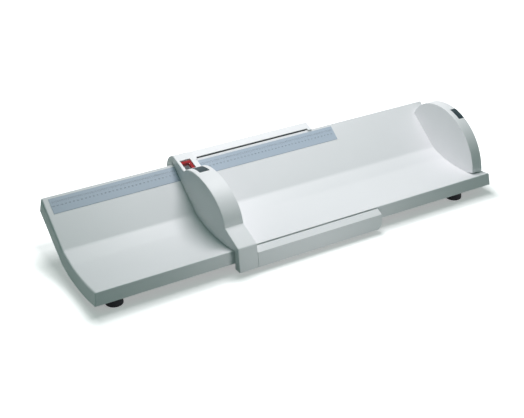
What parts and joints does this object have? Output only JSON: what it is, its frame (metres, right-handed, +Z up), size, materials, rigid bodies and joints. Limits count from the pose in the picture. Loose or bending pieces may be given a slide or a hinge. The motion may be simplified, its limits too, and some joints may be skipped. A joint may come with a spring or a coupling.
{
  "type": "infant length measuring board",
  "caption": "Trough-shaped board for measuring an infant's lying length, with a clip-on head piece, a sliding foot piece with side guards, a reading window and a brake key.",
  "frame": {"origin": "on the floor, below the middle of the board's box", "axes": "+X along the board towards the head piece, +Y towards the raised rear wall, +Z up"},
  "size_m": [1.111, 0.3646, 0.1888],
  "materials": {
    "pale_moulding": "satin moulded plastic, cool pale grey-white",
    "scale_film": "printed blue-grey film",
    "dark_key": "dark slate moulded plastic",
    "red_index": "red moulded plastic",
    "clear_lens": "clear acrylic",
    "black_rubber": "matt rubber",
    "plain_steel": "plain steel",
    "glide_plastic": "natural slippery plastic"
  },
  "bodies": {
    "board": {"tray": "pale_moulding", "scale_strip": "scale_film", "foot_front_left": "black_rubber", "foot_front_right": "black_rubber", "foot_rear_left": "black_rubber", "foot_rear_right": "black_rubber", "foot_screw_front_left": "plain_steel", "foot_screw_front_right": "plain_steel", "foot_screw_rear_left": "plain_steel", "foot_screw_rear_right": "plain_steel", "end_stop_left": "pale_moulding", "end_stop_right": "pale_moulding", "head_piece": "pale_moulding", "head_key_spring": "plain_steel", "head_latch_pin": "plain_steel"},
    "slider": {"foot_piece": "pale_moulding", "index_frame": "red_index", "window_lens": "clear_lens", "brake_spring": "plain_steel", "front_guard": "pale_moulding", "rear_guard": "pale_moulding", "front_guard_pin_upper": "plain_steel", "front_guard_pin_lower": "plain_steel", "rear_guard_pin_upper": "plain_steel", "rear_guard_pin_lower": "plain_steel", "front_top_glide": "glide_plastic", "rear_top_glide": "glide_plastic", "front_glide_near": "glide_plastic", "front_glide_far": "glide_plastic", "rear_glide_near": "glide_plastic", "rear_glide_far": "glide_plastic"},
    "brake": {"brake_key": "dark_key", "brake_shoe": "black_rubber"},
    "head_key": {"head_key": "dark_key"},
    "head_latch": {"head_latch": "glide_plastic"}
  },
  "joints": [
    {"name": "foot_piece_slide", "type": "slide", "parent": "board", "child": "slider", "axis": [1, 0, 0], "range_m": [-0.331, 0.35]},
    {"name": "brake_key_press", "type": "slide", "parent": "slider", "child": "brake", "axis": [0, 0, -1], "range_m": [0, 0.003], "stiffness_N_per_m": 1500, "springref_m": -0.002},
    {"name": "head_key_press", "type": "slide", "parent": "board", "child": "head_key", "axis": [0, 0, -1], "range_m": [0, 0.003], "stiffness_N_per_m": 1500, "springref_m": -0.002},
    {"name": "head_latch_swing", "type": "hinge", "parent": "board", "child": "head_latch", "pos_m": [0.53405, -0.0483, 0.101], "axis": [1, 0, 0], "range_deg": [-7, 0]}
  ],
  "couplings": [
    {"joint": "head_latch_swing", "follows": "head_key_press", "rad_per_m": -40}
  ]
}
